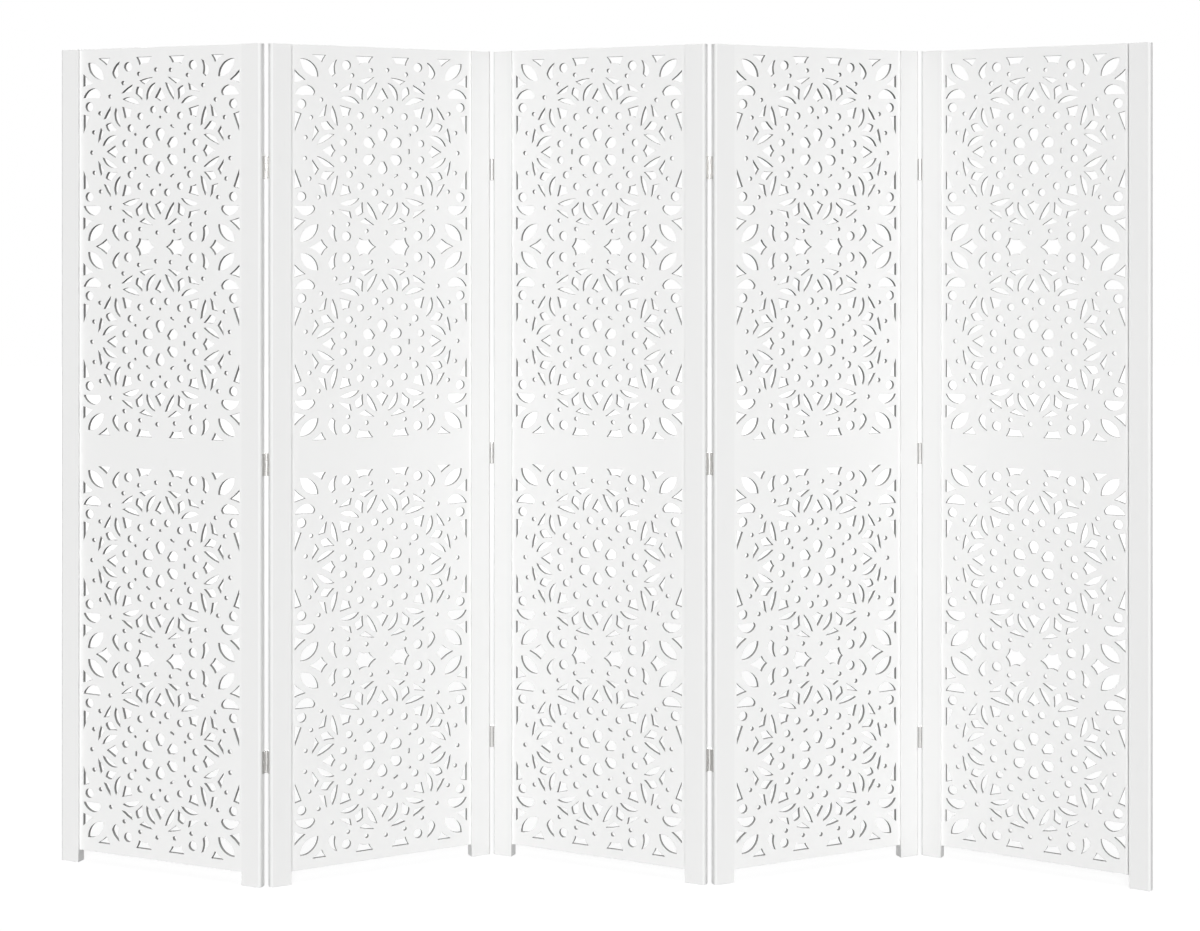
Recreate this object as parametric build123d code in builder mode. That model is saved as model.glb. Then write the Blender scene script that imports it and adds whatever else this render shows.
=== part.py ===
from build123d import *

import os
from math import cos, radians, sin

os.makedirs("parts", exist_ok=True)

# Folding screen of five panels that stands in a zigzag. Millimetres, +Z up, front towards -Y.

# Driving dimensions of a panel
SCREEN_HEIGHT = 1700
PANEL_WIDTH = 484
STILE_WIDTH = 44
STILE_THICKNESS = 20
END_ROUND = 6  # arrises at a panel's two ends
INNER_CHAMFER = 1  # arrises beside the board
FOOT_HEIGHT = 25  # the stiles run below the board and are the feet
BOARD_THICKNESS = 8
TONGUE = 8  # how far the board enters a stile

# Pattern of the board
EDGE_MARGIN = 17  # plain strip above and below the fretwork
MIDDLE_BAND = 61  # plain band across the middle
TILES_PER_SECTION = 2
MEDALLION_RADIUS = 145
POINTS = 8
PETALS = 6

# Openings, as corners in shares of the medallion's radius. The first two lie along a radius,
# the next two run inwards from a tile's corner, and the last three lie on a line between tiles.
PETAL = ((0.138, 0), (0.241, 0.073), (0.338, 0), (0.241, -0.073))
KITE = ((0.907, 0), (0.757, 0.088), (0.707, 0), (0.757, -0.088))
CORNER_LEAF = ((0.139, 0.080), (0.217, 0.263), (0.406, 0.324), (0.328, 0.141))
CORNER_MOON = ((0.061, 0.586), (0.186, 0.455), (0.331, 0.483), (0.345, 0.588))
STAR = ((0.411, 0), (0.350, 0.130), (0.201, 0.108), (0.095, 0), (0.201, -0.108), (0.350, -0.130))
SEAM_KITE = ((1.093, 0), (0.908, 0.112), (0.821, 0), (0.908, -0.112))
HALF_STAR = ((0.403, 0.017), (0.354, 0.134), (0.203, 0.112), (0.141, 0.017))

# Fold of the screen: each panel's angle to the line that the screen stands on
PANEL_ANGLES = (22, 27, 25, 24, 29)

# Butt hinges, three in each joint
HINGE_HEIGHT = 45
HINGE_INSET = 250  # from the top and the floor to the outer hinges' middles
PANEL_GAP = 4  # between two stiles when the panels are in line
AXIS_STANDOFF = 0.6  # pin axis beyond the face on which the panels fold together
BARREL_RADIUS = 4
KNUCKLES = 3
PIN_RADIUS = 1.5
BARREL_SIDES = 10  # round pieces of the twelve small hinges have few sides
PIN_SIDES = 6
LEAF_THICKNESS = 1.2
LEAF_END = 14.6  # from the pin axis to the leaf's free edge
TAB_REACH = 3  # how near to the axis a leaf enters its barrel

# Clearances
GROOVE_CLEARANCE = 0.1  # on each face of the board
GROOVE_END_CLEARANCE = 0.5
PIN_CLEARANCE = 0.05
KNUCKLE_CLEARANCE = 0.2
LEAF_CLEARANCE = 0.3  # from a leaf's edge to the other leaf's barrel

VISIBLE_WIDTH = PANEL_WIDTH - 2 * STILE_WIDTH
BOARD_RECESS = (STILE_THICKNESS - BOARD_THICKNESS) / 2
BOARD_HEIGHT = SCREEN_HEIGHT - FOOT_HEIGHT
SECTION_HEIGHT = (BOARD_HEIGHT - 2 * EDGE_MARGIN - MIDDLE_BAND) / 2
TILE_HEIGHT = SECTION_HEIGHT / TILES_PER_SECTION
HINGE_MIDDLES = (HINGE_INSET, SCREEN_HEIGHT / 2, SCREEN_HEIGHT - HINGE_INSET)
KNUCKLE_HEIGHT = HINGE_HEIGHT / KNUCKLES


def plan_plane(origin, angle):
    """A panel's plan: X along the panel from its left end, Y from its front face to its back."""
    heading = (cos(radians(angle)), sin(radians(angle)), 0)
    return Plane(origin=origin, x_dir=heading, z_dir=(0, 0, 1))


def folds_at_back(joint):
    """The first joint's panels fold back to back, the second's front to front, and so on."""
    return joint % 2 == 0


def axis_depth(joint):
    """Local Y of a joint's pin axis."""
    return STILE_THICKNESS + AXIS_STANDOFF if folds_at_back(joint) else -AXIS_STANDOFF


def panel_plans():
    """The five plans, with the screen's footprint centred on the origin."""
    plans = []
    for panel, angle in enumerate(PANEL_ANGLES):
        signed = -angle if folds_at_back(panel) else angle
        if not plans:
            plans.append(plan_plane((0, 0, 0), signed))
            continue
        depth = axis_depth(panel - 1)
        axis = plans[-1].from_local_coords((PANEL_WIDTH + PANEL_GAP / 2, depth, 0))
        pivot = plan_plane(axis, signed)
        plans.append(plan_plane(pivot.from_local_coords((PANEL_GAP / 2, -depth, 0)), signed))
    rounds = [
        plan.from_local_coords((x, y, 0))
        for plan in plans
        for x in (END_ROUND, PANEL_WIDTH - END_ROUND)
        for y in (END_ROUND, STILE_THICKNESS - END_ROUND)
    ]
    xs = [point.X for point in rounds]
    ys = [point.Y for point in rounds]
    middle = Vector((min(xs) + max(xs)) / 2, (min(ys) + max(ys)) / 2, 0)
    return [Plane(plan.origin - middle, plan.x_dir, plan.z_dir) for plan in plans]


def save(builder, name):
    builder.part.label = name
    export_step(builder.part, f"parts/{name}.step")


def front_plane(plan, depth):
    """Front view of a panel at a depth behind its front face: X to the right, Y up."""
    origin = plan.from_local_coords((0, depth, 0))
    return Plane(origin=origin, x_dir=plan.x_dir, z_dir=-plan.y_dir)


def section_bases():
    """Heights of the two fretwork sections' lower borders."""
    return [FOOT_HEIGHT + EDGE_MARGIN + n * (SECTION_HEIGHT + MIDDLE_BAND) for n in range(2)]


def opening(corners, across=1, upright=1):
    """Cuts one opening, mirrored where a sign is negative."""
    scale = MEDALLION_RADIUS
    points = [(across * x * scale, upright * y * scale) for x, y in corners]
    if across * upright < 0:
        points.reverse()
    Polygon(*points, align=None, mode=Mode.SUBTRACT)


def build_board(plan, name):
    """A thin board, cut through with its fretwork, whose edges are its tongues."""
    middle = PANEL_WIDTH / 2
    tiles = [
        (middle, base + (tile + 0.5) * TILE_HEIGHT)
        for base in section_bases()
        for tile in range(TILES_PER_SECTION)
    ]
    seams = [
        (middle, base + tile * TILE_HEIGHT)
        for base in section_bases()
        for tile in range(1, TILES_PER_SECTION)
    ]
    with BuildPart() as board:
        with BuildSketch(front_plane(plan, BOARD_RECESS)):
            with Locations((middle, FOOT_HEIGHT + BOARD_HEIGHT / 2)):
                Rectangle(VISIBLE_WIDTH + 2 * TONGUE, BOARD_HEIGHT)
            with Locations(*tiles):
                with PolarLocations(0, PETALS, start_angle=90):
                    opening(PETAL)
                with PolarLocations(0, POINTS):
                    opening(KITE)
            for across in (1, -1):
                for upright in (1, -1):
                    corner = (across * VISIBLE_WIDTH / 2, upright * TILE_HEIGHT / 2)
                    with Locations(*((x + corner[0], y + corner[1]) for x, y in tiles)):
                        opening(CORNER_LEAF, -across, -upright)
                        opening(CORNER_MOON, -across, -upright)
                with Locations(*seams):
                    opening(STAR, across)
                    opening(SEAM_KITE, across)
                for base in section_bases():
                    with Locations((middle, base)):
                        opening(HALF_STAR, across)
                    with Locations((middle, base + SECTION_HEIGHT)):
                        opening(HALF_STAR, across, -1)
        extrude(amount=-BOARD_THICKNESS)
    save(board, name)


def build_stile(plan, left_side, name):
    """An upright whose groove, stopped above the foot, carries the board."""
    start = 0 if left_side else PANEL_WIDTH - STILE_WIDTH
    groove_depth = TONGUE + GROOVE_END_CLEARANCE
    groove_middle = STILE_WIDTH - groove_depth / 2 if left_side else groove_depth / 2
    with BuildPart() as stile:
        with BuildSketch(plan) as outline:
            with Locations((start + STILE_WIDTH / 2, STILE_THICKNESS / 2)):
                Rectangle(STILE_WIDTH, STILE_THICKNESS)
            corners = outline.vertices().sort_by(Axis(plan.origin, plan.x_dir))
            ends, inner = (corners[:2], corners[2:]) if left_side else (corners[2:], corners[:2])
            fillet(ends, radius=END_ROUND)
            chamfer(inner, length=INNER_CHAMFER)
        extrude(amount=SCREEN_HEIGHT)
        with BuildSketch(plan.offset(FOOT_HEIGHT)):
            with Locations((start + groove_middle, STILE_THICKNESS / 2)):
                Rectangle(groove_depth, BOARD_THICKNESS + 2 * GROOVE_CLEARANCE)
        extrude(amount=BOARD_HEIGHT, mode=Mode.SUBTRACT)
    save(stile, name)


def hinge_bases():
    """Heights of the undersides of a joint's three hinges."""
    return [middle - HINGE_HEIGHT / 2 for middle in HINGE_MIDDLES]


def build_leaves(axis_plan, side, inward, knuckles, name):
    """One panel's three leaves of a joint, each with its share of the barrel's knuckles."""
    leaf_x = side * (PANEL_GAP - LEAF_THICKNESS) / 2
    leaf_edge = BARREL_RADIUS + LEAF_CLEARANCE
    with BuildPart() as leaves:
        for base in hinge_bases():
            with BuildSketch(axis_plan.offset(base)):
                with Locations((leaf_x, inward * (leaf_edge + LEAF_END) / 2)):
                    Rectangle(LEAF_THICKNESS, LEAF_END - leaf_edge)
            extrude(amount=HINGE_HEIGHT)
            for knuckle in knuckles:
                low = knuckle * KNUCKLE_HEIGHT + (KNUCKLE_CLEARANCE / 2 if knuckle else 0)
                last = knuckle == KNUCKLES - 1
                high = (knuckle + 1) * KNUCKLE_HEIGHT - (0 if last else KNUCKLE_CLEARANCE / 2)
                with BuildSketch(axis_plan.offset(base + low)):
                    RegularPolygon(BARREL_RADIUS, BARREL_SIDES)
                    with Locations((leaf_x, inward * (TAB_REACH + leaf_edge) / 2)):
                        Rectangle(LEAF_THICKNESS, leaf_edge - TAB_REACH)
                    RegularPolygon(
                        PIN_RADIUS + PIN_CLEARANCE,
                        PIN_SIDES,
                        major_radius=False,
                        mode=Mode.SUBTRACT,
                    )
                extrude(amount=high - low)
    save(leaves, name)


def build_pins(axis_plan, name):
    """The three pins of a joint, flush with their barrels."""
    with BuildPart() as pins:
        for base in hinge_bases():
            with BuildSketch(axis_plan.offset(base)):
                RegularPolygon(PIN_RADIUS, PIN_SIDES)
            extrude(amount=HINGE_HEIGHT)
    save(pins, name)


def build_joint(joint, left_plan, right_plan):
    """Both panels' leaves and the pins, about one upright axis in the gap between two stiles."""
    axis = left_plan.from_local_coords((PANEL_WIDTH + PANEL_GAP / 2, axis_depth(joint), 0))
    left_axis = Plane(axis, left_plan.x_dir, left_plan.z_dir)
    right_axis = Plane(axis, right_plan.x_dir, right_plan.z_dir)
    inward = -1 if folds_at_back(joint) else 1
    name = f"joint_{joint + 1}"
    build_leaves(left_axis, -1, inward, range(0, KNUCKLES, 2), f"{name}_left_leaves")
    build_leaves(right_axis, 1, inward, range(1, KNUCKLES, 2), f"{name}_right_leaves")
    build_pins(left_axis, f"{name}_pins")


plans = panel_plans()
for number, plan in enumerate(plans, 1):
    build_board(plan, f"panel_{number}_board")
    build_stile(plan, True, f"panel_{number}_left_stile")
    build_stile(plan, False, f"panel_{number}_right_stile")
for joint, (left_plan, right_plan) in enumerate(zip(plans, plans[1:])):
    build_joint(joint, left_plan, right_plan)
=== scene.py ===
from math import atan, atan2, ceil, cos, pi, radians, sin

import bmesh
import bpy
from bpy.props import FloatProperty, FloatVectorProperty, IntProperty, PointerProperty
from mathutils import Matrix, Vector


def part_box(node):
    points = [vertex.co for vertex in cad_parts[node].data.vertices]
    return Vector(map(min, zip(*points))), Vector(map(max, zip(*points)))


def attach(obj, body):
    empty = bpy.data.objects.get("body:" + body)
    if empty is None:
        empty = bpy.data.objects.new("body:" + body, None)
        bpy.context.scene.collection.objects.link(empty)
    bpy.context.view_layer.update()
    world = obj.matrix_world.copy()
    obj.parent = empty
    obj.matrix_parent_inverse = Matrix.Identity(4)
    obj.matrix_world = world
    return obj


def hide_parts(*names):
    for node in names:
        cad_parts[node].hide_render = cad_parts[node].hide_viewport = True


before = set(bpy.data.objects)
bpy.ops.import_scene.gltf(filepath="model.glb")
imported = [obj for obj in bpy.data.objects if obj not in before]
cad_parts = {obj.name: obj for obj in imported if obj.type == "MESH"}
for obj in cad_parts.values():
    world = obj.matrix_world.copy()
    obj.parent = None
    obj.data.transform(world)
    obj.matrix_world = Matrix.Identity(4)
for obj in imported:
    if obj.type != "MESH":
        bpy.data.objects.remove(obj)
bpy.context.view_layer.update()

bl_info = {
    "name": "Carved Folding Screen",
    "version": (1, 0, 0),
    "blender": (4, 5, 0),
    "location": "View3D > Sidebar > Screen",
    "description": "Dresses a five-panel folding screen: fretwork boards, uprights and hinges",
    "category": "Add Mesh",
}

MM = 0.001
UP = Vector((0, 0, 1))
PANELS = range(1, 6)
JOINTS = range(1, 5)

WELD = 0.01 * MM        # Points nearer to each other than this are one
LEVEL = 0.1 * MM        # Heights that differ by less than this are the same
FLAT = 0.5              # Faces that turn by less than this are one, in degrees
ARC_STEP = 0.2          # Largest turn from one point of a drawn arc to the next, in radians
HALF_TILE = 197.5       # Half the side of a tile as it is drawn, in millimetres

KNUCKLES = 3            # In each hinge: the left leaf has the outer two, the right one the middle
SHOULDER = 0.3          # Where a rim's rounding is nearest its corner, as a share of its width
TAB_START = 0.7         # Where a leaf meets its knuckle, as a share of the barrel's radius
TIP_PROFILE = ((1, 0), (0.86, 0.5), (0.55, 0.85), (0, 1))    # Shares of a pin tip's radius and height
SCREW_SIDES = 20        # Facets round a screw's head
SCREW_FLAT = 0.92       # Radius of a screw head's flat top, as a share of the head's
RECESS_ARM = 0.52       # Reach of a screw's cross recess, as a share of the head's radius
RECESS_HALF = 0.11      # Half the width of its arms, as a share of the same
RECESS_DEPTH = 1.6      # Its depth, as a share of the head's height
SCREW_TURNS = (41, 23)  # Degrees that a recess is turned from screw to screw and from joint to joint

VIEW_RAYS = ("Is Camera Ray", "Is Glossy Ray", "Is Transmission Ray")
FLOOR_TONE = 0.2        # The floor's tone to the light that it throws back on the screen
FLOOR_SEEN_TONE = 0.8   # Its tone to the camera, for the shadow
SHADOW_REACH = (2, 6)   # Metres from the middle between which the shadow fades out
SENSOR_WIDTH = 36       # The camera's, in millimetres
VIEW_DEPTH = 100        # How far the camera sees, in metres


# Places taken from the frame

def middle_of(node):
    """Middle of a node's box."""
    low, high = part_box(node)
    return (low + high) / 2


def panel_place(number):
    """Frame at a board's middle on the floor: X along the panel to the right, Y from front to back."""
    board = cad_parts[f"panel_{number}_board"]
    facing = max(board.data.polygons, key=lambda face: face.area).normal
    depth = facing.copy() if facing.y > 0 else -facing
    place = Matrix((depth.cross(UP), depth, UP)).transposed().to_4x4()
    place.translation = middle_of(f"panel_{number}_board") * Vector((1, 1, 0))
    return place


def measured(node, place):
    """Lowest and highest corners of a node in a place's own axes."""
    inverse = place.inverted()
    points = [inverse @ vertex.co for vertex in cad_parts[node].data.vertices]
    return tuple(Vector(pick(axis) for axis in zip(*points)) for pick in (min, max))


def joint_place(number, side):
    """Frame on a joint's pin axis, on the floor, with a panel's own axes."""
    panel = number if side == "left" else number + 1
    place = panel_place(panel)
    place.translation = middle_of(f"joint_{number}_pins") * Vector((1, 1, 0))
    return place


# Meshes

def vertices_of(geometry):
    """The vertices in what an operator gave."""
    return [item for item in geometry if isinstance(item, bmesh.types.BMVert)]


def edges_of(geometry):
    """The edges in what an operator gave."""
    return [item for item in geometry if isinstance(item, bmesh.types.BMEdge)]


def faces_of(geometry):
    """The faces in what an operator gave."""
    return [item for item in geometry if isinstance(item, bmesh.types.BMFace)]


def added_since(draft, before):
    """The vertices that a draft has gained."""
    return [vertex for vertex in draft.verts if vertex not in before]


def edges_at(vertices):
    """The edges that meet in some vertices, each once and in the same order every time."""
    return list(dict.fromkeys(edge for vertex in vertices for edge in vertex.link_edges))


def outline_since(sheet, before):
    """The vertices and edges that a sheet has gained."""
    new = added_since(sheet, before)
    return new + edges_at(new)


def draw_side(sheet, start, end, bulge):
    """A side of an outline, straight or as an arc that rises by bulge to the right of its travel."""
    if not bulge:
        sheet.edges.new((start, end))
        return
    run = end.co - start.co
    turn = 4 * atan(2 * bulge / run.length)
    radius = run.length / 2 / sin(turn / 2)
    heading = atan2(run.y, run.x) - turn / 2
    centre = start.co + radius * Vector((-sin(heading), cos(heading), 0))
    steps = max(2, ceil(abs(turn) / ARC_STEP))
    arc = bmesh.ops.spin(
        sheet, geom=[start], cent=centre, axis=UP, angle=turn, steps=steps, use_merge=False
    )
    bmesh.ops.pointmerge(sheet, verts=[*vertices_of(arc["geom_last"]), end], merge_co=end.co.copy())


def draw(sheet, *corners):
    """A closed outline through corners (x, y, bulge of the side that starts there), in millimetres.

    Merging an arc's end makes its corner anew, so each side looks for the vertices at its ends.
    """
    before = set(sheet.verts)
    places = [sheet.verts.new((x * MM, y * MM, 0)).co.copy() for x, y, _ in corners]
    for (_, _, bulge), start, end in zip(corners, places, places[1:] + places[:1]):
        ends = [
            min(added_since(sheet, before), key=lambda vertex: (vertex.co - place).length)
            for place in (start, end)
        ]
        draw_side(sheet, *ends, bulge * MM)
    return outline_since(sheet, before)


def disc(sheet, x, y, radius, segments=16):
    """A round outline, in millimetres."""
    before = set(sheet.verts)
    bmesh.ops.create_circle(
        sheet, cap_ends=False, radius=radius * MM, segments=segments,
        matrix=Matrix.Translation((x * MM, y * MM, 0)),
    )
    return outline_since(sheet, before)


def copied(sheet, shape):
    """A second shape in the same place."""
    return bmesh.ops.duplicate(sheet, geom=shape)["geom"]


def turned(sheet, shape, degrees):
    """Turns a shape clockwise about the middle of its tile."""
    bmesh.ops.rotate(
        sheet, verts=vertices_of(shape), cent=(0, 0, 0), matrix=Matrix.Rotation(-radians(degrees), 3, "Z")
    )


def rung(sheet, shape, count, step=None):
    """Repeats a shape clockwise round the middle of its tile: evenly, or by a step in degrees."""
    step = step or 360 / count
    for index in range(1, count):
        turned(sheet, copied(sheet, shape), index * step)


def flipped(sheet, shape, across=-1, upright=1):
    """Adds a mirror image of a shape and returns it."""
    twin = copied(sheet, shape)
    bmesh.ops.scale(sheet, verts=vertices_of(twin), vec=(across, upright, 1))
    return twin


def polar(radius, degrees):
    """A point at a distance from the middle and an angle clockwise from the top."""
    return radius * sin(radians(degrees)), radius * cos(radians(degrees))


def cut_medallion(sheet):
    """The round ornament of a tile: six petals, dots, sixteen holes, kites, leaves, rays and arrows."""
    petal = draw(sheet, (-4.5, 21.5, 0), (4.5, 21.5, 0), (9.67, 31.5, 15.9), (-9.67, 31.5, 0))
    rung(sheet, petal, 6)
    dash = draw(sheet, (-3.3, 56.2, 0), (3.3, 56.2, 2.2), (3.3, 60.6, 0), (-3.3, 60.6, 2.2))
    turned(sheet, dash, 30)
    rung(sheet, dash, 6)
    rung(sheet, disc(sheet, 0, 69.7, 3, 10), 6)
    rung(sheet, disc(sheet, *polar(87, 11.25), 7.6), 16)
    kite = draw(sheet, (0, 131.5, 0), (-12.8, 109.8, -1), (0, 102.5, -1), (12.8, 109.8, 0))
    rung(sheet, kite, 8)
    leaf = draw(sheet, (0, 145, 1.5), (-9.5, 133, -0.7), (0, 113.4, -0.7), (9.5, 133, 1.5))
    turned(sheet, leaf, 22.5)
    rung(sheet, leaf, 8)
    ray = draw(sheet, (11.4, 141.8, 2.4), (32.9, 104.4, 9.1))
    arrow = draw(sheet, (17.9, 152.6, 0), (38.4, 138.1, 0), (50.7, 145.9, 1.2))
    for shape in (ray, arrow):
        rung(sheet, flipped(sheet, shape), 8)
        rung(sheet, shape, 8)

    # The outer ring of dots closes with a narrower gap
    dot = disc(sheet, *polar(168.3, -3.6), 4.5, 12)
    rung(sheet, dot, 25, step=-14.49)


def cut_corners(sheet):
    """What fills a tile's four corners outside its ring of dots."""
    top = HALF_TILE
    shapes = [
        draw(sheet, (177.8, top - 11.6, 12), (139.2, top - 47, 12)),
        draw(sheet, (189.6, top - 34.3, -1), (166.3, top - 54.2, -0.5), (189.6, top - 61, 0)),
        draw(sheet, (189.2, 113, 5), (162.9, 132.7, 3), (146, 119.9, 1), (149.8, 112.1, 0)),
        draw(sheet, (99, 186.9, -3), (102.2, 157.4, 0), (109.1, 151.4, 2), (117.8, 165, 3)),
        draw(sheet, (189, 78, 0), (175, 74.3, 0), (189, 37.7, 0)),
        disc(sheet, 78.6, 175.5, 9.8, 20),
        disc(sheet, 174.6, 94.2, 9.8, 20),
    ]
    for shape in shapes:
        flipped(sheet, shape)
        flipped(sheet, shape, 1, -1)
        flipped(sheet, shape, -1, -1)


def cut_seam(sheet):
    """The stars and kites that straddle the line between two tiles."""
    star = draw(
        sheet, (59.6, 0, -2), (50.8, 18.9, -3), (29.2, 15.6, -2), (13.8, 0, -2), (29.2, -15.6, -3),
        (50.8, -18.9, -2),
    )
    kite = draw(sheet, (158.5, 0, -1.5), (131.6, 16.3, -1.5), (119.1, 0, -1.5), (131.6, -16.3, -1.5))
    for shape in (star, kite):
        flipped(sheet, shape)


def cut_border(sheet):
    """The half stars and half kites at the top of a section."""
    kite = draw(sheet, (152.4, -2.5, 0), (122.8, -2.5, -0.8), (131.3, -18, -0.8))
    star = draw(sheet, (58.5, -2.5, 0), (20.5, -2.5, -1), (29.4, -16.2, -2.5), (51.3, -19.4, -1))
    for shape in (star, kite):
        flipped(sheet, shape)


def mesh_of(draft, name):
    """Turns a finished draft into a mesh."""
    mesh = bpy.data.meshes.new(name)
    draft.to_mesh(mesh)
    draft.free()
    return mesh


def pattern_mesh(cut):
    """The outlines of a pattern, drawn once to be placed many times."""
    sheet = bmesh.new()
    cut(sheet)
    return mesh_of(sheet, "pattern")


def place_pattern(sheet, mesh, height, upright=1):
    """Adds a drawn pattern at a height of the board, upright or upside down."""
    before = set(sheet.verts)
    sheet.from_mesh(mesh)
    new = added_since(sheet, before)
    bmesh.ops.scale(sheet, verts=new, vec=(1, upright, 1))
    bmesh.ops.translate(sheet, verts=new, vec=(0, height, 0))


def carved_sheet(sizes, low, high):
    """A board's face with all its openings, flat, X across and Y up the board."""
    sheet = bmesh.new()
    margin, band = sizes.edge_margin, sizes.middle_band
    section = (high.z - low.z - 2 * margin - band) / 2
    tile = section / 2
    scale = tile / (2 * HALF_TILE * MM)
    cuts = {cut: pattern_mesh(cut) for cut in (cut_medallion, cut_corners, cut_seam, cut_border)}
    for base in (low.z + margin, low.z + margin + section + band):
        for index in range(2):
            middle = base + (index + 0.5) * tile
            place_pattern(sheet, cuts[cut_medallion], middle / scale)
            place_pattern(sheet, cuts[cut_corners], middle / scale)
        place_pattern(sheet, cuts[cut_seam], (base + tile) / scale)
        place_pattern(sheet, cuts[cut_border], (base + section) / scale)
        place_pattern(sheet, cuts[cut_border], base / scale, -1)
    for mesh in cuts.values():
        bpy.data.meshes.remove(mesh)
    bmesh.ops.scale(sheet, verts=sheet.verts, vec=(1, scale, 1))
    corners = [
        sheet.verts.new((x, y, 0))
        for x, y in ((low.x, low.z), (high.x, low.z), (high.x, high.z), (low.x, high.z))
    ]
    for ends in zip(corners, corners[1:] + corners[:1]):
        sheet.edges.new(ends)
    bmesh.ops.triangle_fill(sheet, edges=sheet.edges, use_beauty=True, use_dissolve=False, normal=UP)
    bmesh.ops.recalc_face_normals(sheet, faces=sheet.faces)
    return sheet


def eased_face(plate, rim, side):
    """One face of the board, every arris of it softened by the rim's width.

    The plate's outline stays at zero height and the face stands off it by the rim, up or down.
    """
    sheet = plate.copy()
    inset = bmesh.ops.inset_region(sheet, faces=sheet.faces, thickness=rim, depth=0, use_boundary=True)
    slopes = set(inset["faces"])
    inner = [face for face in sheet.faces if face not in slopes]
    raised = {vertex for face in inner for vertex in face.verts}
    bmesh.ops.delete(sheet, geom=inner, context="FACES_KEEP_BOUNDARY")
    for edge in [edge for edge in sheet.edges if not edge.link_faces]:
        sheet.edges.remove(edge)
    loops = [edge for edge in sheet.edges if all(vertex in raised for vertex in edge.verts)]
    bmesh.ops.translate(sheet, verts=list(raised), vec=(0, 0, rim * side))
    bmesh.ops.triangle_fill(sheet, edges=loops, use_beauty=True, use_dissolve=False, normal=UP)
    return mesh_of(sheet, "face")


def fretwork_mesh(sizes, low, high):
    """A carved board, lying on its back with its face up, X across and Y up the board.

    low and high are the corners of the board that the uprights carry.
    """
    plate = carved_sheet(sizes, low, high)
    face, back = (eased_face(plate, sizes.rim, side) for side in (1, -1))
    plate.free()

    # The walls of the openings join the face to the back
    rise = (high.y - low.y) / 2 - sizes.rim
    sheet = bmesh.new()
    sheet.from_mesh(face)
    bmesh.ops.translate(sheet, verts=sheet.verts, vec=(0, 0, rise))
    arris = [edge for edge in sheet.edges if edge.is_boundary]
    walls = bmesh.ops.extrude_edge_only(sheet, edges=arris)["geom"]
    bmesh.ops.translate(sheet, verts=vertices_of(walls), vec=(0, 0, -2 * rise))
    # The walls take the second finish, whose grey is painted shade
    for wall in faces_of(walls):
        wall.material_index = 1
    before = set(sheet.verts)
    sheet.from_mesh(back)
    bmesh.ops.translate(sheet, verts=added_since(sheet, before), vec=(0, 0, -rise))
    for mesh in (face, back):
        bpy.data.meshes.remove(mesh)
    bmesh.ops.remove_doubles(sheet, verts=sheet.verts, dist=WELD)
    bmesh.ops.recalc_face_normals(sheet, faces=sheet.faces)
    return mesh_of(sheet, "fretwork")


# Finishes

class Signal:
    """A node's output, which Python's arithmetic extends with Math nodes."""

    def __init__(self, graph, socket):
        self.graph, self.socket = graph, socket

    def math(self, operation, first, second):
        return self.graph.node("ShaderNodeMath", {"operation": operation}, {0: first, 1: second})

    def __add__(self, other):
        return self.math("ADD", self, other)

    def __radd__(self, other):
        return self.math("ADD", other, self)

    def __mul__(self, other):
        return self.math("MULTIPLY", self, other)

    def __rmul__(self, other):
        return self.math("MULTIPLY", other, self)


class Graph:
    """A node tree, with one way to add any node."""

    def __init__(self, tree):
        self.tree = tree

    def found(self, kind):
        """The node of a kind that a new tree has."""
        return next(node for node in self.tree.nodes if node.type == kind)

    def node(self, kind, settings=None, inputs=None, output=0):
        """Adds a node: its settings come first, then its sockets' values or links."""
        node = self.tree.nodes.new(kind)
        for name, value in (settings or {}).items():
            if name == "stops":
                for element, (position, level) in zip(node.color_ramp.elements, value):
                    element.position, element.color = position, (level, level, level, 1)
            else:
                setattr(node, name, value)
        self.feed(node, inputs or {})
        return Signal(self, node.outputs[output])

    def feed(self, node, inputs):
        """Links or sets a node's sockets."""
        for key, value in inputs.items():
            if isinstance(value, Signal):
                self.tree.links.new(value.socket, node.inputs[key])
            else:
                node.inputs[key].default_value = value

    def background_rays(self):
        """1 on the rays that show a background: to the camera, off gloss and through glass."""
        camera, glossy, transmission = (self.node("ShaderNodeLightPath", output=ray) for ray in VIEW_RAYS)
        return camera + glossy + transmission


class Finish(Graph):
    """A procedural material."""

    def __init__(self, name):
        self.material = bpy.data.materials.new(name)
        self.material.use_nodes = True
        super().__init__(self.material.node_tree)
        self.shader = self.found("BSDF_PRINCIPLED")

    def place(self, scale=(1, 1, 1)):
        """Object coordinates, stretched to a scale."""
        return self.node("ShaderNodeMapping", inputs={
            "Vector": self.node("ShaderNodeTexCoord", output="Object"), "Scale": scale,
        })

    def noise(self, place, scale, detail=2.0, roughness=0.5):
        """Cloudy values about a half."""
        return self.node("ShaderNodeTexNoise", inputs={
            "Vector": place, "Scale": scale, "Detail": detail, "Roughness": roughness,
        })

    def ramp(self, value, low, high):
        """0 where a value is under low and 1 where it is over high."""
        return self.node("ShaderNodeValToRGB", {"stops": ((low, 0.0), (high, 1.0))}, {"Fac": value})

    def blend(self, factor, first, second):
        """From a first colour to a second."""
        return self.node("ShaderNodeMix", {"data_type": "RGBA"}, {0: factor, 6: first, 7: second}, 2)

    def bump(self, height, distance):
        """A normal that follows a height, over a distance in metres."""
        return self.node("ShaderNodeBump", inputs={"Height": height, "Distance": distance})


def shade_of(colour, level):
    """A colour made darker by a level, with full alpha."""
    return tuple(channel * level for channel in colour[:3]) + (1,)


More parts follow.
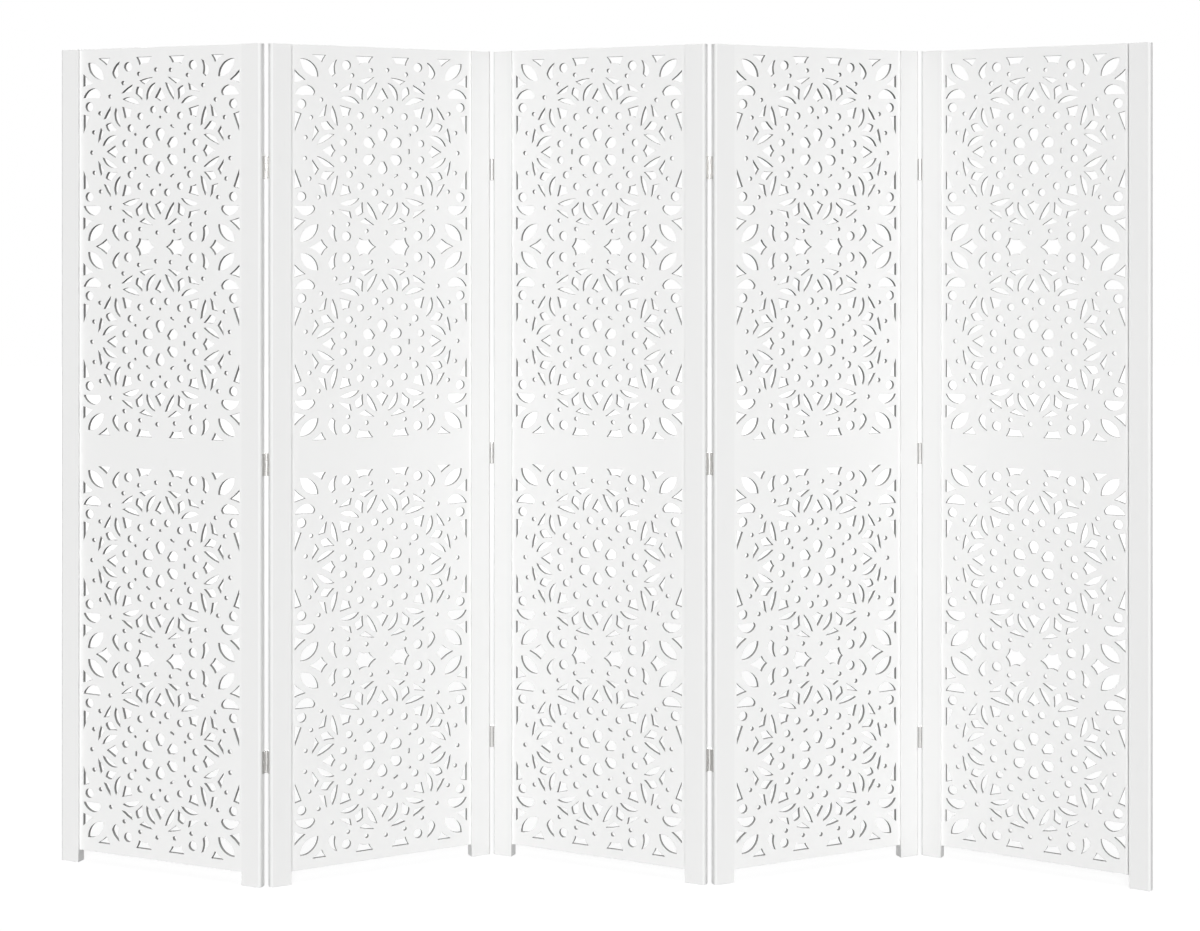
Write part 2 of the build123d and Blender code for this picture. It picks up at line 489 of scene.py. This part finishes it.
def painted(name, colour, roughness, grain=0.0, cut_edge=False):
    """White lacquer over board or wood, or a grey painted shade on the openings' walls: slow drift of
    tone, roller stipple, faint grain and scuffs.
    """
    finish = Finish(name)
    place = finish.place()
    drift = finish.noise(place, scale=2.4, detail=3.0)
    blots = finish.noise(finish.place((1, 1, 0.35)), scale=38, detail=5.0, roughness=0.62)
    scuffs = finish.ramp(blots, 0.62, 0.78)
    tone = finish.blend(drift, shade_of(colour, 0.975), shade_of(colour, 1.0))
    tone = finish.blend(scuffs * 0.35, tone, shade_of(colour, 0.93))
    stipple = finish.noise(place, scale=2600 if cut_edge else 1400)
    height = stipple * 0.6 + finish.noise(place, scale=160) * 0.4
    if grain:
        streaks = finish.noise(finish.place((90, 90, 3.2)), scale=6, detail=4.0, roughness=0.6)
        height = height + streaks * grain
    finish.feed(finish.shader, {
        "Base Color": tone,
        "Roughness": roughness + 0.10 * drift + 0.12 * scuffs,
        "Normal": finish.bump(height, distance=0.09 * MM if cut_edge else 0.04 * MM),
        "Specular IOR Level": 0.05 if cut_edge else 0.35,
    })
    return finish.material


def brushed_metal(name, colour, roughness, lengthwise=True):
    """Satin steel with fine drawn lines and a few dull spots."""
    finish = Finish(name)
    stretch = (900, 900, 26) if lengthwise else (400, 400, 400)
    lines = finish.noise(finish.place(stretch), scale=3, detail=3.0, roughness=0.6)
    spots = finish.noise(finish.place(), scale=420, detail=4.0, roughness=0.6)
    dull = finish.ramp(spots, 0.5, 0.72)
    finish.feed(finish.shader, {
        "Base Color": finish.blend(dull * 0.5, shade_of(colour, 1.0), shade_of(colour, 0.8)),
        "Metallic": 1.0,
        "Roughness": roughness + 0.14 * lines + 0.12 * dull,
        "Normal": finish.bump(lines * 0.7 + spots * 0.3, distance=0.02 * MM),
    })
    return finish.material


# For each finish, how it is made, the user's colour for it, and how rough and what else it is
FINISHES = {
    "board_face": (painted, "board_paint", {"roughness": 0.5}),
    # The openings' walls: the lacquer's stipple and a matt surface, with a grey colour that is painted
    # shade
    "board_cut_edge": (painted, "cut_edge_painted_shade", {"roughness": 0.62, "cut_edge": True}),
    "upright_paint": (painted, "upright_paint", {"roughness": 0.46, "grain": 0.5}),
    "hinge_steel": (brushed_metal, "hinge_metal", {"roughness": 0.3}),
    "pin_steel": (brushed_metal, "hinge_metal", {"roughness": 0.26, "lengthwise": False}),
}


def finish_named(name):
    """The finish of that name, made when it is first asked for."""
    if name not in bpy.data.materials:
        make, colour, traits = FINISHES[name]
        make(name, getattr(bpy.context.scene.screen_finishes, colour), **traits)
    return bpy.data.materials[name]


def add_piece(name, mesh, body, replaced, finishes, sharp=35):
    """Puts a finished mesh in the scene as a piece that rides on a body."""
    mesh.name = name
    for finish in finishes:
        mesh.materials.append(finish_named(finish))
    mesh.shade_smooth()
    mesh.set_sharp_from_angle(angle=radians(sharp))
    piece = bpy.data.objects.new(name, mesh)
    bpy.context.scene.collection.objects.link(piece)
    shading = piece.modifiers.new("even_shading", "WEIGHTED_NORMAL")
    shading.mode, shading.keep_sharp = "FACE_AREA_WITH_ANGLE", True
    if replaced:
        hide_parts(*replaced)
    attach(piece, body)


# What a user may change

class BoardSizes(bpy.types.PropertyGroup):
    """Sizes of the fretwork boards"""

    edge_margin: FloatProperty(
        name="Edge margin", description="Plain strip above and below the fretwork",
        default=17 * MM, unit="LENGTH")
    middle_band: FloatProperty(
        name="Middle band", description="Plain band across the middle of a board",
        default=61 * MM, unit="LENGTH")
    rim: FloatProperty(
        name="Rim", description="Width of the eased arris round every opening",
        default=0.4 * MM, unit="LENGTH")


class UprightSizes(bpy.types.PropertyGroup):
    """Softening of the uprights' ends"""

    end_softening: FloatProperty(
        name="End softening", description="Rounding of an upright's top and foot edges",
        default=0.8 * MM, unit="LENGTH")
    end_steps: IntProperty(
        name="End steps", description="Segments of that rounding", default=2, min=1)


class HingeSizes(bpy.types.PropertyGroup):
    """Sizes of the hinges, their pins and their screws"""

    gap: FloatProperty(
        name="Gap", description="Space between two uprights in line", default=4 * MM, unit="LENGTH")
    barrel_radius: FloatProperty(
        name="Barrel radius", description="Outside of the knuckles", default=4 * MM, unit="LENGTH")
    bore: FloatProperty(
        name="Bore", description="Radius of the hole through the knuckles",
        default=1.55 * MM, unit="LENGTH")
    pin_radius: FloatProperty(
        name="Pin radius", description="Radius of the pins", default=1.5 * MM, unit="LENGTH")
    knuckle_gap: FloatProperty(
        name="Knuckle gap", description="Space between two knuckles", default=0.2 * MM, unit="LENGTH")
    leaf_thickness: FloatProperty(
        name="Leaf thickness", description="Sheet that the leaves are cut from",
        default=1.2 * MM, unit="LENGTH")
    leaf_start: FloatProperty(
        name="Leaf start", description="From the pin axis to the leaf's near edge",
        default=4.3 * MM, unit="LENGTH")
    leaf_end: FloatProperty(
        name="Leaf end", description="From the pin axis to the leaf's free edge",
        default=14.6 * MM, unit="LENGTH")
    tip_radius: FloatProperty(
        name="Tip radius", description="Radius of a pin's button tip", default=2.3 * MM, unit="LENGTH")
    leaf_softening: FloatProperty(
        name="Leaf softening", description="Rounding of a leaf's edges", default=0.25 * MM, unit="LENGTH")
    knuckle_softening: FloatProperty(
        name="Knuckle softening", description="Rounding of a knuckle's rims",
        default=0.35 * MM, unit="LENGTH")
    segments: IntProperty(
        name="Segments", description="Facets round a knuckle", default=32, min=12)
    dome: FloatProperty(
        name="Dome", description="Height of a pin's domed tip", default=0.7 * MM, unit="LENGTH")
    screw_head: FloatProperty(
        name="Screw head", description="Radius of a screw's head", default=2.6 * MM, unit="LENGTH")
    screw_proud: FloatProperty(
        name="Screw height", description="How far a screw's head stands off its leaf",
        default=0.25 * MM, unit="LENGTH")
    screws: IntProperty(
        name="Screws", description="Screws in each leaf", default=3, min=2)


class ScreenFinishes(bpy.types.PropertyGroup):
    """Colours of the screen"""

    board_paint: FloatVectorProperty(
        name="Board paint", description="Lacquer on the boards' faces",
        default=(0.89, 0.89, 0.885), size=3, subtype="COLOR", min=0, max=1)
    # Grey painted shade on the openings' walls, which are really as white as the faces
    cut_edge_painted_shade: FloatVectorProperty(
        name="Cut edge paint", description="Lacquer inside the openings",
        default=(0.38, 0.38, 0.375), size=3, subtype="COLOR", min=0, max=1)
    upright_paint: FloatVectorProperty(
        name="Upright paint", description="Lacquer on the uprights",
        default=(0.87, 0.87, 0.865), size=3, subtype="COLOR", min=0, max=1)
    hinge_metal: FloatVectorProperty(
        name="Hinge metal", description="Satin steel of hinges, pins and screws",
        default=(0.62, 0.616, 0.605), size=3, subtype="COLOR", min=0, max=1)


class StageSettings(bpy.types.PropertyGroup):
    """The camera, the lamps and the floor"""

    camera_place: FloatVectorProperty(
        name="Camera place", description="Where the camera stands",
        default=(0.0104, -4.2372, 1.354), size=3, subtype="TRANSLATION", unit="LENGTH")
    lens: FloatProperty(
        name="Lens", description="Focal length in millimetres", default=61.59, min=1)
    rise: FloatProperty(
        name="Vertical shift", description="The camera's shift for framing", default=-0.2088)
    front: FloatProperty(
        name="Front lamp", description="Strength of the light in front", default=2.85, min=0)
    back: FloatProperty(
        name="Back lamp", description="Strength of the light behind", default=2.0, min=0)
    overhead: FloatProperty(
        name="Overhead lamp", description="Strength of the light above", default=1.0, min=0)
    ambient: FloatProperty(
        name="Ambient", description="Strength of the even dome", default=0.07, min=0)
    shadow_share: FloatProperty(
        name="Shadow share", description="How much of the shadow the white floor shows",
        default=0.2, min=0, max=1)
    floor_glow: FloatProperty(
        name="Floor glow", description="What makes the floor white to the camera", default=1.106, min=0)
    floor_reach: FloatProperty(
        name="Floor reach", description="Half the side of the floor", default=14, unit="LENGTH")


# Operators

class ScreenOperator:
    """What every step of the screen has in common."""

    bl_options = {"REGISTER", "UNDO"}


class SCREEN_OT_boards(ScreenOperator, bpy.types.Operator):
    """Carve the five boards, every other one turned round"""

    bl_idname = "screen.boards"
    bl_label = "Fretwork Boards"

    def execute(self, context):
        carved = fretwork_mesh(context.scene.screen_boards, *measured("panel_1_board", panel_place(1)))
        upright = Matrix.Rotation(pi / 2, 4, "X")
        for number in PANELS:
            place = panel_place(number)
            low, high = measured(f"panel_{number}_board", place)
            depth = Matrix.Translation((0, (low.y + high.y) / 2, 0))
            turn = Matrix.Rotation(0 if number % 2 else pi, 4, "Z")
            mesh = carved.copy()
            mesh.transform(place @ depth @ turn @ upright)
            add_piece(
                f"fretwork_board_{number}", mesh, f"panel_{number}",
                [f"panel_{number}_board"], ["board_face", "board_cut_edge"],
            )
        bpy.data.meshes.remove(carved)
        return {"FINISHED"}


def upright_mesh(node, sizes):
    """A copy of an upright with its top and foot edges softened."""
    draft = bmesh.new()
    draft.from_mesh(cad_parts[node].data)
    bmesh.ops.remove_doubles(draft, verts=draft.verts, dist=WELD)
    bmesh.ops.dissolve_limit(draft, angle_limit=radians(FLAT), verts=draft.verts, edges=draft.edges)
    top = max(vertex.co.z for vertex in draft.verts)
    ends = [
        edge for edge in draft.edges
        if all(v.co.z < LEVEL for v in edge.verts) or all(v.co.z > top - LEVEL for v in edge.verts)
    ]
    bmesh.ops.bevel(
        draft, geom=ends, offset=sizes.end_softening, offset_type="OFFSET", segments=sizes.end_steps,
        profile=0.5, affect="EDGES", clamp_overlap=True, material=-1,
    )
    bmesh.ops.recalc_face_normals(draft, faces=draft.faces)
    return mesh_of(draft, node)


class SCREEN_OT_uprights(ScreenOperator, bpy.types.Operator):
    """Dress the ten uprights"""

    bl_idname = "screen.uprights"
    bl_label = "Uprights"

    def execute(self, context):
        for number in PANELS:
            for side in ("left", "right"):
                node = f"panel_{number}_{side}_stile"
                mesh = upright_mesh(node, context.scene.screen_uprights)
                add_piece(
                    f"{side}_upright_{number}", mesh, f"panel_{number}", [node],
                    ["upright_paint"], sharp=30,
                )
        return {"FINISHED"}


def block(draft, low, high, softening=0.0):
    """A box between two corners, with softened edges."""
    cube = bmesh.ops.create_cube(draft, size=1)["verts"]
    bmesh.ops.scale(draft, verts=cube, vec=high - low)
    bmesh.ops.translate(draft, verts=cube, vec=(low + high) / 2)
    if softening:
        bmesh.ops.bevel(
            draft, geom=edges_at(cube), offset=softening, offset_type="OFFSET", segments=2, profile=0.5,
            affect="EDGES", material=-1,
        )


def spun(draft, profile, segments):
    """Turns a profile of (radius, height) points round the upright axis; it may start and end on it."""
    before = set(draft.verts)
    points = [draft.verts.new((radius, 0, height)) for radius, height in profile]
    pairs = zip(points, points[1:] if profile[0][0] == 0 else points[1:] + points[:1])
    edges = [draft.edges.new(pair) for pair in pairs]
    bmesh.ops.spin(
        draft, geom=points + edges, cent=(0, 0, 0), axis=UP, angle=2 * pi, steps=segments, use_merge=True
    )
    bmesh.ops.remove_doubles(draft, verts=added_since(draft, before), dist=WELD / 10)


def knuckle(draft, sizes, base, top):
    """A tube on the pin axis with softened rims."""
    bore, outer, soft = sizes.bore, sizes.barrel_radius, sizes.knuckle_softening
    near = soft * SHOULDER
    spun(draft, [
        (bore, base), (outer - soft, base), (outer - near, base + near), (outer, base + soft),
        (outer, top - soft), (outer - near, top - near), (outer - soft, top), (bore, top),
    ], sizes.segments)


def hinge_spans(number):
    """Foot and head of each hinge of a joint, from its packed pins."""
    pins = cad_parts[f"joint_{number}_pins"].data
    heights = sorted({round(vertex.co.z, 5) for vertex in pins.vertices})
    return list(zip(heights[::2], heights[1::2]))


def leaf_side(number):
    """-1 where a joint's leaves lie in front of its pins, 1 where they lie behind them."""
    low, high = measured(f"joint_{number}_left_leaves", joint_place(number, "left"))
    return 1 if high.y > -low.y else -1


def leaves_mesh(number, side, sizes):
    """One panel's three leaves of a joint, with their knuckles, about the pin axis."""
    draft = bmesh.new()
    across, knuckles = (-1, (0, 2)) if side == "left" else (1, (1,))
    inward, soft, clear = leaf_side(number), sizes.leaf_softening, sizes.knuckle_gap / 2
    left, right = sorted((across * (sizes.gap / 2 - sizes.leaf_thickness), across * sizes.gap / 2))
    near, far = sorted((inward * sizes.leaf_start, inward * sizes.leaf_end))
    tab_near, tab_far = sorted((
        inward * sizes.barrel_radius * TAB_START, inward * (sizes.leaf_start + soft * 2)
    ))
    for foot, head in hinge_spans(number):
        step = (head - foot) / KNUCKLES
        block(draft, Vector((left, near, foot)), Vector((right, far, head)), soft)
        for index in knuckles:
            base = foot + index * step + (clear if index else 0)
            top = foot + (index + 1) * step - (clear if index < KNUCKLES - 1 else 0)
            knuckle(draft, sizes, base, top)
            block(draft, Vector((left, tab_near, base + soft)), Vector((right, tab_far, top - soft)))
    bmesh.ops.recalc_face_normals(draft, faces=draft.faces)
    return mesh_of(draft, "leaves")


class SCREEN_OT_hinges(ScreenOperator, bpy.types.Operator):
    """Make the leaves and knuckles of the twelve hinges"""

    bl_idname = "screen.hinges"
    bl_label = "Hinge Leaves"

    def execute(self, context):
        for number in JOINTS:
            for side, panel in (("left", number), ("right", number + 1)):
                mesh = leaves_mesh(number, side, context.scene.screen_hinges)
                mesh.transform(joint_place(number, side))
                add_piece(
                    f"{side}_hinge_leaves_{number}", mesh, f"panel_{panel}",
                    [f"joint_{number}_{side}_leaves"], ["hinge_steel"],
                )
        return {"FINISHED"}


class SCREEN_OT_pins(ScreenOperator, bpy.types.Operator):
    """Make the hinges' pins with their button tips"""

    bl_idname = "screen.pins"
    bl_label = "Hinge Pins"

    def execute(self, context):
        sizes = context.scene.screen_hinges
        for number in JOINTS:
            draft = bmesh.new()
            for foot, head in hinge_spans(number):
                below = [(r * sizes.tip_radius, foot - h * sizes.dome) for r, h in reversed(TIP_PROFILE)]
                above = [(r * sizes.tip_radius, head + h * sizes.dome) for r, h in TIP_PROFILE]
                shank = [(sizes.pin_radius, foot), (sizes.pin_radius, head)]
                spun(draft, below + shank + above, sizes.segments // 2)
            bmesh.ops.recalc_face_normals(draft, faces=draft.faces)
            mesh = mesh_of(draft, "pins")
            mesh.transform(joint_place(number, "left"))
            add_piece(
                f"hinge_pins_{number}", mesh, f"panel_{number}",
                [f"joint_{number}_pins"], ["pin_steel"],
            )
        return {"FINISHED"}


def screw_mesh(sizes):
    """A low round head with a cross recess, facing up from the origin."""
    draft = bmesh.new()
    radius, height = sizes.screw_head / MM, sizes.screw_proud
    head = edges_of(disc(draft, 0, 0, radius * SCREW_FLAT, SCREW_SIDES))
    arm, half = RECESS_ARM * radius, RECESS_HALF * radius
    recess = edges_of(draw(
        draft, (arm, half, 0), (half, half, 0), (half, arm, 0), (-half, arm, 0), (-half, half, 0),
        (-arm, half, 0), (-arm, -half, 0), (-half, -half, 0), (-half, -arm, 0), (half, -arm, 0),
        (half, -half, 0), (arm, -half, 0),
    ))
    bmesh.ops.triangle_fill(draft, edges=recess + head, use_beauty=True, normal=UP)

    # The recess goes down, and the head slopes out to its rim and then down to its base
    walls = bmesh.ops.extrude_edge_only(draft, edges=recess)["geom"]
    bottom = vertices_of(walls)
    bmesh.ops.translate(draft, verts=bottom, vec=(0, 0, -height * RECESS_DEPTH))
    floor = [edge for edge in edges_of(walls) if all(vertex in bottom for vertex in edge.verts)]
    bmesh.ops.triangle_fill(draft, edges=floor, use_beauty=True, normal=UP)
    skirt = vertices_of(bmesh.ops.extrude_edge_only(draft, edges=head)["geom"])
    bmesh.ops.scale(draft, verts=skirt, vec=(1 / SCREW_FLAT, 1 / SCREW_FLAT, 1))
    bmesh.ops.translate(draft, verts=skirt, vec=(0, 0, -height))
    rim = [edge for edge in draft.edges if edge.is_boundary and all(v in skirt for v in edge.verts)]
    base = vertices_of(bmesh.ops.extrude_edge_only(draft, edges=rim)["geom"])
    bmesh.ops.translate(draft, verts=base, vec=(0, 0, -height))
    bmesh.ops.triangle_fill(
        draft, edges=[edge for edge in draft.edges if edge.is_boundary], use_beauty=True, normal=-UP
    )
    bmesh.ops.recalc_face_normals(draft, faces=draft.faces)
    bmesh.ops.translate(draft, verts=draft.verts, vec=(0, 0, height))
    return mesh_of(draft, "screw")


def driven_mesh(screw, number, across, sizes):
    """The screws of one panel's three leaves of a joint, about the pin axis."""
    draft = bmesh.new()
    face = across * (sizes.gap / 2 - sizes.leaf_thickness)
    depth = leaf_side(number) * (sizes.leaf_start + sizes.leaf_end) / 2
    for foot, head in hinge_spans(number):
        for index in range(sizes.screws):
            height = foot + (head - foot) * (index + 0.5) / sizes.screws
            twist = SCREW_TURNS[0] * index + SCREW_TURNS[1] * number
            before = set(draft.verts)
            draft.from_mesh(screw)
            bmesh.ops.transform(draft, verts=added_since(draft, before), matrix=(
                Matrix.Translation((face, depth, height))
                @ Matrix.Rotation(-across * pi / 2, 4, "Y")
                @ Matrix.Rotation(radians(twist), 4, "Z")
            ))
    return mesh_of(draft, "screws")


class SCREEN_OT_screws(ScreenOperator, bpy.types.Operator):
    """Drive the screws into the hinges' leaves"""

    bl_idname = "screen.screws"
    bl_label = "Hinge Screws"

    def execute(self, context):
        sizes = context.scene.screen_hinges
        screw = screw_mesh(sizes)
        for number in JOINTS:
            for side, panel, across in (("left", number, -1), ("right", number + 1, 1)):
                mesh = driven_mesh(screw, number, across, sizes)
                mesh.transform(joint_place(number, side))
                add_piece(
                    f"{side}_hinge_screws_{number}", mesh, f"panel_{panel}",
                    [], ["pin_steel"],
                )
        bpy.data.meshes.remove(screw)
        return {"FINISHED"}


# Stage

def lamp(name, azimuth, elevation, spread, strength):
    """Even light from far away, in degrees: azimuth from the front to the right, elevation, spread."""
    light = bpy.data.lights.new(name, "SUN")
    light.angle, light.energy = radians(spread), strength
    stand = bpy.data.objects.new(name, light)
    stand.rotation_euler = (radians(90 - elevation), 0, radians(azimuth))
    bpy.context.scene.collection.objects.link(stand)


def light_world(scene, ambient):
    """White to the camera and in reflections, and a dim even dome for the rest."""
    scene.world = bpy.data.worlds.new("studio")
    scene.world.use_nodes = True
    graph = Graph(scene.world.node_tree)
    dome = graph.found("BACKGROUND")
    graph.feed(dome, {"Color": (0.96, 0.98, 1, 1), "Strength": ambient})
    white = graph.node("ShaderNodeBackground", inputs={"Color": (1, 1, 1, 1), "Strength": 1})
    seen = graph.node("ShaderNodeMixShader", inputs={
        0: graph.background_rays(), 1: Signal(graph, dome.outputs[0]), 2: white,
    })
    graph.feed(graph.found("OUTPUT_WORLD"), {"Surface": seen})


def floor_finish(shadow_share, strength):
    """Pale floor that the camera and reflections see as white, apart from a share of the shadow on it."""
    finish = Finish("studio_floor")
    camera = finish.node("ShaderNodeLightPath", output=VIEW_RAYS[0])
    finish.feed(finish.shader, {
        "Base Color": FLOOR_TONE + (FLOOR_SEEN_TONE - FLOOR_TONE) * camera,
        "Roughness": 0.9,
        "Specular IOR Level": 0.0,
    })
    far = finish.node("ShaderNodeVectorMath", {"operation": "LENGTH"}, {
        0: finish.node("ShaderNodeTexCoord", output="Object"),
    }, "Value")
    white_share = finish.node("ShaderNodeMapRange", {"interpolation_type": "SMOOTHSTEP"}, {
        "Value": far, "From Min": SHADOW_REACH[0], "From Max": SHADOW_REACH[1],
        "To Min": 1 - shadow_share, "To Max": 1.0,
    })
    seen = finish.node("ShaderNodeMixShader", inputs={
        0: finish.background_rays() * white_share,
        1: Signal(finish, finish.shader.outputs[0]),
        2: finish.node("ShaderNodeEmission", inputs={"Strength": strength}),
    })
    finish.feed(finish.found("OUTPUT_MATERIAL"), {"Surface": seen})
    return finish.material


class SCREEN_OT_stage(ScreenOperator, bpy.types.Operator):
    """Set up the floor, the lamps and the camera"""

    bl_idname = "screen.stage"
    bl_label = "Stage"

    def execute(self, context):
        scene, settings = context.scene, context.scene.screen_stage
        draft = bmesh.new()
        bmesh.ops.create_grid(draft, x_segments=1, y_segments=1, size=settings.floor_reach)
        floor = bpy.data.objects.new("studio_floor", mesh_of(draft, "studio_floor"))
        floor.data.materials.append(floor_finish(settings.shadow_share, settings.floor_glow))
        scene.collection.objects.link(floor)

        light_world(scene, settings.ambient)
        lamp("front_lamp", azimuth=0, elevation=18, spread=20, strength=settings.front)
        lamp("back_lamp", azimuth=180, elevation=8, spread=20, strength=settings.back)
        lamp("overhead_lamp", azimuth=0, elevation=80, spread=40, strength=settings.overhead)

        camera = bpy.data.objects.new("camera", bpy.data.cameras.new("camera"))
        camera.location = settings.camera_place
        camera.rotation_euler = (pi / 2, 0, 0)
        camera.data.sensor_width, camera.data.lens = SENSOR_WIDTH, settings.lens
        camera.data.shift_y = settings.rise
        camera.data.clip_end = VIEW_DEPTH
        scene.collection.objects.link(camera)
        scene.camera = camera
        scene.view_settings.view_transform = "Standard"
        return {"FINISHED"}


# Panel

STEPS = (
    SCREEN_OT_boards, SCREEN_OT_uprights, SCREEN_OT_hinges, SCREEN_OT_pins, SCREEN_OT_screws,
    SCREEN_OT_stage,
)
GROUPS = {
    "screen_boards": BoardSizes, "screen_uprights": UprightSizes, "screen_hinges": HingeSizes,
    "screen_finishes": ScreenFinishes, "screen_stage": StageSettings,
}


class SCREEN_PT_steps(bpy.types.Panel):
    """The screen's sizes, colours and steps"""

    bl_idname = "SCREEN_PT_steps"
    bl_label = "Carved Folding Screen"
    bl_space_type = "VIEW_3D"
    bl_region_type = "UI"
    bl_category = "Screen"

    def draw(self, context):
        for name, group in GROUPS.items():
            box = self.layout.box()
            for key in group.__annotations__:
                box.prop(getattr(context.scene, name), key)
        for step in STEPS:
            self.layout.operator(step.bl_idname)


def register():
    """Adds the properties, the steps and the panel."""
    for kind in (*GROUPS.values(), *STEPS, SCREEN_PT_steps):
        bpy.utils.register_class(kind)
    for name, group in GROUPS.items():
        setattr(bpy.types.Scene, name, PointerProperty(type=group))


def unregister():
    """Takes away all that register added."""
    for name in GROUPS:
        delattr(bpy.types.Scene, name)
    for kind in reversed((*GROUPS.values(), *STEPS, SCREEN_PT_steps)):
        bpy.utils.unregister_class(kind)


def main():
    """Takes every step in order."""
    register()
    bpy.ops.screen.boards()
    bpy.ops.screen.uprights()
    bpy.ops.screen.hinges()
    bpy.ops.screen.pins()
    bpy.ops.screen.screws()
    bpy.ops.screen.stage()


if __name__ == "__main__":
    main()
